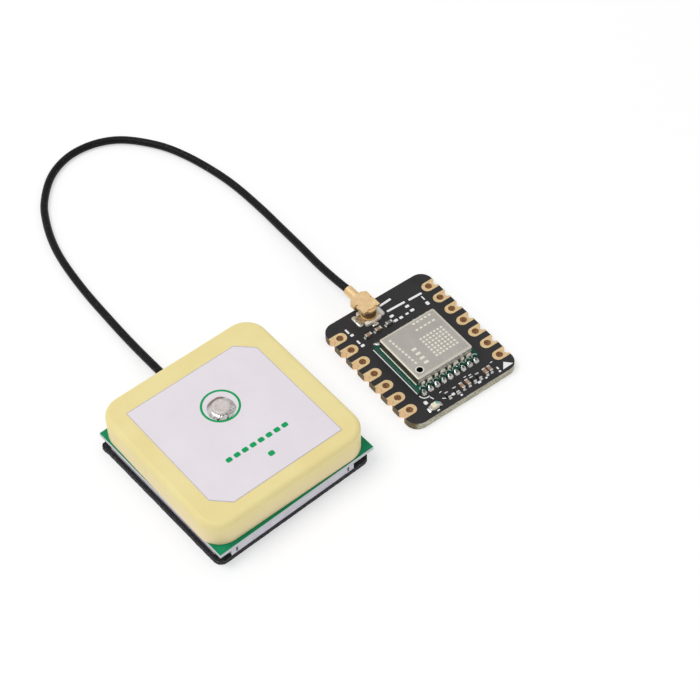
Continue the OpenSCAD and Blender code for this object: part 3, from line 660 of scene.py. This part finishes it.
def add_frame(bm, outer, inner, low, high):
    """A flat closed band between two outlines of as many points."""
    loops = [[bm.verts.new((x, y, z)) for x, y in line]
             for line, z in ((outer, low), (outer, high), (inner, high), (inner, low))]
    for a, b in zip(loops, loops[1:] + loops[:1]):
        add_skin(bm, a, b)


def add_loft(bm, rings):
    """A skin over rings of points, closed at both ends."""
    rows = [[bm.verts.new(p) for p in ring] for ring in rings]
    for a, b in zip(rows, rows[1:]):
        add_skin(bm, a, b)
    bm.faces.new(rows[0][::-1])
    bm.faces.new(rows[-1])


def add_box(bm, size, at, edge=0.05, turn=0):
    """A block with softened edges, standing on a point."""
    block = bmesh.new()
    bmesh.ops.create_cube(block, size=1, matrix=Matrix.Diagonal((*size, 1)))
    bmesh.ops.bevel(block, geom=block.edges[:], offset=edge, segments=3, profile=0.5, affect="EDGES")
    where = Matrix.Translation((at[0], at[1], at[2] + size[2] / 2))
    block.transform(where @ Matrix.Rotation(math.radians(turn), 4, "Z"))
    mesh = bpy.data.meshes.new("block")
    block.to_mesh(mesh)
    block.free()
    bm.from_mesh(mesh)
    bpy.data.meshes.remove(mesh)


def bar(x, y, length, width, turn=0, corner=0.3, steps=4):
    """The outline of a bar with rounded corners, given as a share of its shorter side."""
    r = corner * min(length, width)
    points = []
    for k, (sx, sy) in enumerate(((1, 1), (-1, 1), (-1, -1), (1, -1))):
        for i in range(steps + 1):
            a = math.pi / 2 * (k + i / steps)
            across = sx * (length / 2 - r) + r * math.cos(a)
            along = sy * (width / 2 - r) + r * math.sin(a)
            px, py = turned(across, along, turn)
            points.append((x + px, y + py))
    return points


def circle(x, y, r, sides=56):
    return [(x + r * math.cos(2 * math.pi * k / sides), y + r * math.sin(2 * math.pi * k / sides))
            for k in range(sides)]


def strip(points, width):
    """The outline of a line of one width along a row of points."""
    left, right = [], []
    for i, (x, y) in enumerate(points):
        a, b = points[max(i - 1, 0)], points[min(i + 1, len(points) - 1)]
        run = math.dist(a, b)
        ox, oy = -(b[1] - a[1]) / run * width / 2, (b[0] - a[0]) / run * width / 2
        left.append((x + ox, y + oy))
        right.append((x - ox, y - oy))
    return left + right[::-1]


def add_blob(bm, x, y, turn, steps, sides=10):
    """Solder on the board that runs out from a point: each step is (distance, half width, height)."""
    rings = []
    for out, half, high in steps:
        ring = []
        for k in range(sides + 1):
            a = math.pi * k / sides
            px, py = turned(out, half * math.cos(a), turn)
            ring.append((x + px, y + py, TOP + high * max(math.sin(a), 0) ** 0.7))
        rings.append(ring)
    add_loft(bm, rings)


def add_mound(bm, x, y, length, width, high, base=TOP):
    """A low mound of solder on a rounded foot."""
    rings = []
    for share, lift in ((1, 0), (0.98, 0.35), (0.9, 0.7), (0.74, 0.92), (0.4, 1.0)):
        rings.append([(px, py, base + high * lift)
                      for px, py in bar(x, y, length * share, width * share, corner=0.42)])
    add_loft(bm, rings)


def add_half_ring(bm, x, y, turn, profile, steps=12):
    """A half ring round a point: its section is a row of (distance, height)."""
    rings = []
    for k in range(steps + 1):
        ring = []
        for r, z in profile:
            px, py = turned(r, 0, turn + 180 * k / steps)
            ring.append((x + px, y + py, z))
        rings.append(ring)
    add_loft(bm, rings)


# Solder of the receiver module and its shield

# Section of the tinned rim of a half hole: distance from its middle, height above the module's board
TINNED_RIM = [(0.3, 0), (0.31, 0.05), (0.38, 0.07), (0.45, 0.04), (0.47, 0)]
SEAM_L = 7.9
SEAM_STEPS = 32
SEAM_SUNK = 0.02
SEAM_DABS = 8
DAB_W = 0.24
DAB_H = 0.5
DAB_SHIFT = -0.05
# Distance from a shield's end wall to the middle of its dabs
DAB_OUT = 0.07


def add_module_joints():
    """The eighteen joints that hold the receiver module, no two alike, and the tinned rims above them."""
    bm = bmesh.new()
    rim = [(r, MODULE_TOP + z) for r, z in TINNED_RIM]
    for side in (1, -1):
        for i in range(HALF_HOLES):
            wide = 1 + 0.08 * math.sin(2.1 * i + 1.3 * side)
            tall = 1 + 0.1 * math.cos(1.7 * i - side)
            steps = [
                (-0.2, 0.2, 0.5), (-0.06, 0.27, 0.58), (0.03, 0.38 * wide, 0.58 * tall),
                (0.16, 0.43 * wide, 0.55 * tall), (0.36, 0.45 * wide, 0.47 * tall),
                (0.56, 0.42 * wide, 0.38 * tall), (0.7, 0.34 * wide, 0.26), (0.78, 0.22, 0.12),
                (0.8, 0.1, 0.03)]
            x = (i - (HALF_HOLES - 1) / 2) * HALF_HOLE_PITCH
            y = MODULE_Y + side * MODULE_L / 2
            add_blob(bm, x, y, 90 * side, steps)
            add_half_ring(bm, x, y, 90 + 90 * side, rim)
    finished(bm, "module_joints", "solder", "joint_tin", stands_for=["module_solder"], crease=60)


def add_shield_foot():
    """The thin seam of solder along the shield's foot, and the dabs of solder at its notches."""
    bm = bmesh.new()
    for out in (-1, 1):
        x = SHIELD_X + out * SHIELD_W / 2
        rings = []
        for k in range(SEAM_STEPS + 1):
            y = MODULE_Y + SEAM_L * (k / SEAM_STEPS - 0.5)
            reach = 0.1 + 0.03 * noise.noise(Vector((x, 2.3 * y, 0)))
            high = 0.06 + 0.02 * noise.noise(Vector((x, 3.1 * y, 5)))
            section = [(-SEAM_SUNK, 0), (-SEAM_SUNK, high), (0.45 * reach, 0.5 * high), (reach, 0)]
            rings.append([(x + away * out, y, MODULE_TOP + z) for away, z in section])
        add_loft(bm, rings)
    for side in (-1, 1):
        y = MODULE_Y + side * (SHIELD_L / 2 + DAB_OUT)
        for i in range(SEAM_DABS):
            x = (i - (SEAM_DABS - 1) / 2) * HALF_HOLE_PITCH + DAB_SHIFT
            long = 0.72 + 0.16 * math.sin(3.1 * i + side)
            add_mound(bm, x, y, long, DAB_W, DAB_H, MODULE_TOP)
    finished(bm, "shield_seam", "solder", "seam_cream", crease=60)


# Small parts on the carrier board: places across and along, and turn

CAPACITORS = [(x, UPPER_ROW_Y, 0) for x in (-4.3, -2.65)]
CAPACITORS += [(x, LOWER_ROW_Y, 90) for x in (0.2, 1.15, 4.15, 4.9)]
RESISTORS = [(x, LOWER_ROW_Y, 90) for x in (-2.15, -0.8, 2.1, 3.05)]
INDUCTORS = [(-0.8, UPPER_ROW_Y, 0)]
BODY_L = 0.62
BODY_W = 0.46
BODY_DROP = 0.02
LAMP_MARK = (0.26, 0.5, 0.06)
LAMP_MARK_PLACE = (-4.34, -9.2, 1.81)


def add_end(bm, x, y, turn, half, end, wide, high, reach):
    """One tinned end of a chip with its fillet of solder; turn is the way that it points."""
    ox, oy = turned(half - end / 2, 0, turn)
    add_box(bm, (end, wide, high), (x + ox, y + oy, TOP), turn=turn)
    ox, oy = turned(half, 0, turn)
    w = wide / 2
    steps = [(-0.03, w * 0.94, high * 0.72), (0.18 * reach, w, high * 0.48),
             (0.45 * reach, w * 1.03, high * 0.28), (0.75 * reach, w * 0.95, high * 0.12),
             (reach, w * 0.7, 0.02)]
    add_blob(bm, x + ox, y + oy, turn, steps)


def add_chips():
    ends = bmesh.new()
    for node, slot, chips, high in (("chip_capacitors", "capacitor_brown", CAPACITORS, CHIP_H),
                                    ("chip_resistors", "chip_black", RESISTORS, RESISTOR_H),
                                    ("chip_inductor", "inductor_grey", INDUCTORS, CHIP_H)):
        bodies = bmesh.new()
        for x, y, turn in chips:
            add_box(bodies, (BODY_L, BODY_W, high - BODY_DROP), (x, y, TOP), 0.04, turn)
            for way in (turn, turn + 180):
                add_end(ends, x, y, way, CHIP_L / 2, END_L, CHIP_W, high, END_SOLDER)
        finished(bodies, node + "_bodies", slot, stands_for=[node])
    for way in (0, 180):
        add_end(ends, LAMP_X, LAMP_Y, way, LAMP_L / 2, LAMP_END_L, LAMP_W, LAMP_BASE_H, LAMP_SOLDER)
    finished(ends, "tinned_ends", "solder", "tin", stands_for=["chip_ends"])
    dot = bmesh.new()
    add_box(dot, LAMP_MARK, LAMP_MARK_PLACE, 0.02)
    finished(dot, "lamp_mark", "lamp_cream", "lamp_teal")


def add_socket_joints():
    """The solder over the socket's two ground feet and on its signal tail."""
    bm = bmesh.new()
    for x, y, length, width, high in ((-4.0, 8.5, 0.85, 2.2, 0.26), (-0.45, 8.3, 0.8, 2.1, 0.26),
                                      (-2.32, 6.62, 1.05, 0.5, 0.2)):
        add_mound(bm, x, y, length, width, high)
    finished(bm, "socket_joints", "solder", "tin", stands_for=["socket_solder"])


# Print: plain bars, squares and lines in the places of the printed text

# Each bar is its place across and along, its length, its width and its turn
PRINT_BARS = [
    (1.1, 8.95, 2.0, 0.34, 3), (1.8, 7.45, 3.0, 0.34, -2), (5.0, 7.28, 2.2, 0.34, -2),
    (0.33, 6.47, 0.62, 0.42, 0), (0.31, 5.54, 0.62, 0.42, 0), (1.2, 5.5, 0.55, 0.42, 0),
    (2.25, 5.54, 0.5, 0.3, 0), (3.2, 5.62, 0.62, 0.42, 0), (3.07, 6.58, 0.62, 0.42, 0),
    (5.71, 6.41, 0.2, 0.75, 0), (5.62, 5.32, 0.5, 0.62, 0), (-6.12, 7.98, 0.28, 0.85, 0),
    (-5.97, 7.07, 0.5, 0.4, 0), (-6.0, 5.58, 0.28, 0.7, 0), (-5.9, 4.77, 0.55, 0.42, 0),
    (-5.21, -7.99, 0.5, 0.6, 0), (-4.07, -7.84, 0.16, 0.6, 20), (-4.61, -9.95, 0.4, 0.22, 0),
    (-2.83, -8.87, 0.5, 0.14, -35), (-2.6, -7.77, 0.4, 0.12, 10), (-1.44, -9.06, 0.5, 0.4, 0),
    (-0.57, -9.26, 0.26, 0.5, 0), (-0.65, -9.84, 0.34, 0.28, 0), (1.55, -7.75, 0.4, 0.12, 0),
    (2.55, -9.62, 0.5, 0.36, 0), (2.29, -7.9, 0.45, 0.14, 0), (3.75, -9.6, 0.3, 0.26, 0),
    (5.9, -7.95, 0.4, 0.12, 0), (5.96, -9.26, 0.24, 0.45, 0), (5.87, -9.85, 0.36, 0.28, 0)]
PRINT_LINES = [
    [(-5.24, 3.3), (-5.22, 0), (-5.2, -6.2)],
    [(-5.2, -6.6), (-5.1, -7.0), (-4.88, -7.28), (-4.5, -7.42), (-4.1, -7.38)]]
PRINT_LINE_W = 0.15
TRIANGLE = [(7.23, -8.9), (6.4, -9.9), (8.15, -9.85)]
BOARD_PRINT_T = 0.012
SHIELD_PRINT_T = 0.008
PATCH_PRINT_T = 0.01
OUTLINE_T = 0.006

GRID_X = 1.55
GRID_Y = -2.22
GRID_PITCH = 0.57
GRID_SQUARE = 0.33
MARK_HOLE = (-3.5, -4.5)


def add_print():
    bm = bmesh.new()
    outlines = [bar(x, y, length, width, turn) for x, y, length, width, turn in PRINT_BARS]
    outlines += [strip(line, PRINT_LINE_W) for line in PRINT_LINES]
    for outline in outlines + [TRIANGLE]:
        add_prism(bm, outline, TOP, TOP + BOARD_PRINT_T)
    finished(bm, "board_print", "insulation_white", "print_white")


def add_shield_marks():
    """Rows of plain bars, a field of equal squares and a ring, where the shield carries its marking."""
    bm = bmesh.new()
    low, high = SHIELD_TOP, SHIELD_TOP + SHIELD_PRINT_T
    outlines = [bar(-3.6 + 0.05 * k, 1.7 - 0.62 * k, 0.3, 0.4, 5) for k in range(9)]
    outlines += [bar(-1.98, -1.35 - 0.88 * k, 0.75, 0.42) for k in range(4)]
    for k in range(5):
        outlines.append(bar(0.7 + 0.66 * k, 2.15, 0.4, 0.3))
        outlines.append(bar(0.4 + 0.7 * k, 1.05, 0.42, 0.3))
    for i in range(-3, 4):
        for j in range(-3, 4):
            x, y = GRID_X + GRID_PITCH * i, GRID_Y + GRID_PITCH * j
            outlines.append(bar(x, y, GRID_SQUARE, GRID_SQUARE, corner=0.1, steps=1))
    for outline in outlines:
        add_prism(bm, outline, low, high)
    add_frame(bm, circle(*MARK_HOLE, 0.6), circle(*MARK_HOLE, 0.46), low, high)
    finished(bm, "shield_marks", "shield_metal", "print_pale")


# Antenna

# Rings of the foam pad's edge, from the bottom up: height and how far it is drawn in
FOAM_RINGS = [(0, 0.06), (0.06, 0.01), (0.2, 0), (0.36, 0.02), (0.52, 0.01), (0.68, 0), (0.84, 0.01),
              (0.9, 0.06)]
FOAM_STEP = 0.3
FOAM_KEEP = 12.4
# Rings of the solder round the feed: radius, height and how far it is uneven
COLLAR_RINGS = [(1.86, 7.2, 0.05), (1.83, 7.32, 0.1), (1.72, 7.46, 0.14), (1.52, 7.57, 0.1),
                (1.34, 7.63, 0.03), (1.1, 7.62, 0)]
COLLAR_SIDES = 20
# Rings of the feed pin and its head: radius and height
HEAD_RINGS = [(0.5, 2.0), (0.5, 7.58), (1.3, 7.6), (1.25, 7.72), (1.16, 7.82), (1.04, 7.88), (0.9, 7.9),
              (0.82, 7.88), (0.66, 7.89), (0.58, 7.87), (0.42, 7.88), (0.34, 7.86), (0.16, 7.87)]
HEAD_SIDES = 40
FEED_RING = (0.08, 2.56)
FEED_RING_SIDES = 80


def add_foam():
    """The adhesive foam pad, cut by hand, so that its edge wavers and one corner is left square."""
    corners = bar(FOAM_X, 0, FOAM_W, FOAM_L, corner=FOAM_R / FOAM_L, steps=5)
    square_corner = (FOAM_X - FOAM_W / 2, FOAM_L / 2)
    outline = []
    for a, b in zip(corners, corners[1:] + corners[:1]):
        count = max(1, round(math.dist(a, b) / FOAM_STEP))
        for k in range(count):
            outline.append((a[0] + (b[0] - a[0]) * k / count, a[1] + (b[1] - a[1]) * k / count))
    rings = []
    for z, inset in FOAM_RINGS:
        ring = []
        for x, y in outline:
            wave = 0.5 + 0.5 * noise.noise(Vector((0.5 * x, 0.5 * y, 0.4 * z)))
            pore = 0.5 + 0.5 * noise.noise(Vector((2.6 * x, 2.6 * y, 4 * z)))
            keep = 1 - (inset + 0.05 * wave + 0.07 * pore) / FOAM_KEEP
            square = 0.42 * max(0, 1.25 - math.dist((x, y), square_corner))
            ring.append((FOAM_X + (x - FOAM_X) * keep - square, y * keep + square, z))
        rings.append(ring)
    bm = bmesh.new()
    add_loft(bm, rings)
    pad = finished(bm, "foam_cushion", "foam_black", stands_for=["foam_pad"], place=in_antenna, crease=50)


def add_feed():
    """The feed pin's flat head in a collar of solder that the iron left in facets."""
    rings = []
    for r, z, shake in COLLAR_RINGS:
        ring = []
        for k in range(COLLAR_SIDES):
            a = 2 * math.pi * k / COLLAR_SIDES
            out = r + shake * noise.noise(Vector((1.7 * math.cos(a), 1.7 * math.sin(a), 3 * z)))
            ring.append((PATCH_X + out * math.cos(a), FEED_Y + out * math.sin(a), z))
        rings.append(ring)
    collar = bmesh.new()
    add_loft(collar, rings)
    finished(collar, "feed_collar", "solder", "feed_tin", stands_for=["feed_solder"], place=in_ceramic,
             crease=12)
    head = bmesh.new()
    add_loft(head, [[(x, y, z) for x, y in circle(PATCH_X, FEED_Y, r, HEAD_SIDES)] for r, z in HEAD_RINGS])
    finished(head, "feed_head", "solder", "feed_dull", stands_for=["feed_pin"], place=in_ceramic, crease=50)


def add_patch_print():
    """The ring round the feed, a row of plain dashes for the type number, and the patch's outline."""
    high = PATCH_TOP + PATCH_PRINT_T
    ring = bmesh.new()
    outer, inner = [circle(*FEED_RING, r, FEED_RING_SIDES) for r in (2.64, 2.33)]
    add_frame(ring, outer, inner, PATCH_TOP, high)
    for k in range(8):
        add_prism(ring, bar(-4.2 + 1.24 * k, -4.88 - 0.03 * k, 0.85, 0.7), PATCH_TOP, high)
    add_prism(ring, bar(0.48, -7.48, 0.85, 0.75), PATCH_TOP, high)
    finished(ring, "patch_print", "amplifier_green", "print_green", place=in_ceramic)
    edge = bmesh.new()
    a, b, cut = PATCH_W / 2, PATCH_L / 2, PATCH_CUT
    corners = [(a, -b), (a, b - cut), (a - cut, b), (-a, b), (-a, cut - b), (cut - a, -b)]
    outer, inner = [[(share * x + PATCH_X, share * y + PATCH_Y) for x, y in corners] for share in (1, 0.989)]
    add_frame(edge, outer, inner, PATCH_TOP, PATCH_TOP + OUTLINE_T)
    finished(edge, "patch_outline", "fired_silver", "print_grey", place=in_ceramic)


add_module_joints()
add_shield_foot()
add_chips()
add_socket_joints()
add_print()
add_shield_marks()
add_foam()
add_feed()
add_patch_print()


# Floor and light, in metres and watts

FLOOR_HALF = 2
FLOOR_Z = -0.00002
FLOOR_GLOW = 0.49
SKY_STRENGTH = 0.64
KEY_PLACE = (-0.2, 0.12, 0.5)
KEY_AIM = (-0.012, 0.02, 0)
KEY_SIZE = 0.3
KEY_WATTS = 1.1
WHITE = (1, 1, 1, 1)


def add_floor():
    mesh = bpy.data.meshes.new("floor")
    corners = [(x * FLOOR_HALF, y * FLOOR_HALF, FLOOR_Z) for x, y in ((-1, -1), (1, -1), (1, 1), (-1, 1))]
    mesh.from_pydata(corners, [], [(0, 1, 2, 3)])
    floor = bpy.data.objects.new("floor", mesh)
    scene.collection.objects.link(floor)
    look = Look("pale_floor", specular=0.1)
    look.colour(look.mix(look.noise(0.01, 2), (0.54, 0.54, 0.545, 1), (0.56, 0.56, 0.565, 1))).rough(0.9)
    look.shader.inputs["Emission Color"].default_value = WHITE
    look.shader.inputs["Emission Strength"].default_value = FLOOR_GLOW
    mesh.materials.append(look.mat)


def add_light():
    world = bpy.data.worlds.new("studio")
    world.use_nodes = True
    sky = world.node_tree.nodes["Background"]
    sky.inputs["Color"].default_value = WHITE
    sky.inputs["Strength"].default_value = SKY_STRENGTH
    scene.world = world
    data = bpy.data.lights.new("key", "AREA")
    data.shape = "DISK"
    data.size = KEY_SIZE
    data.energy = KEY_WATTS
    lamp = bpy.data.objects.new("key", data)
    scene.collection.objects.link(lamp)
    lamp.location = KEY_PLACE
    lamp.rotation_euler = (Vector(KEY_AIM) - Vector(KEY_PLACE)).to_track_quat("-Z", "Y").to_euler()
    scene.view_settings.view_transform = "Standard"


add_floor()
add_light()
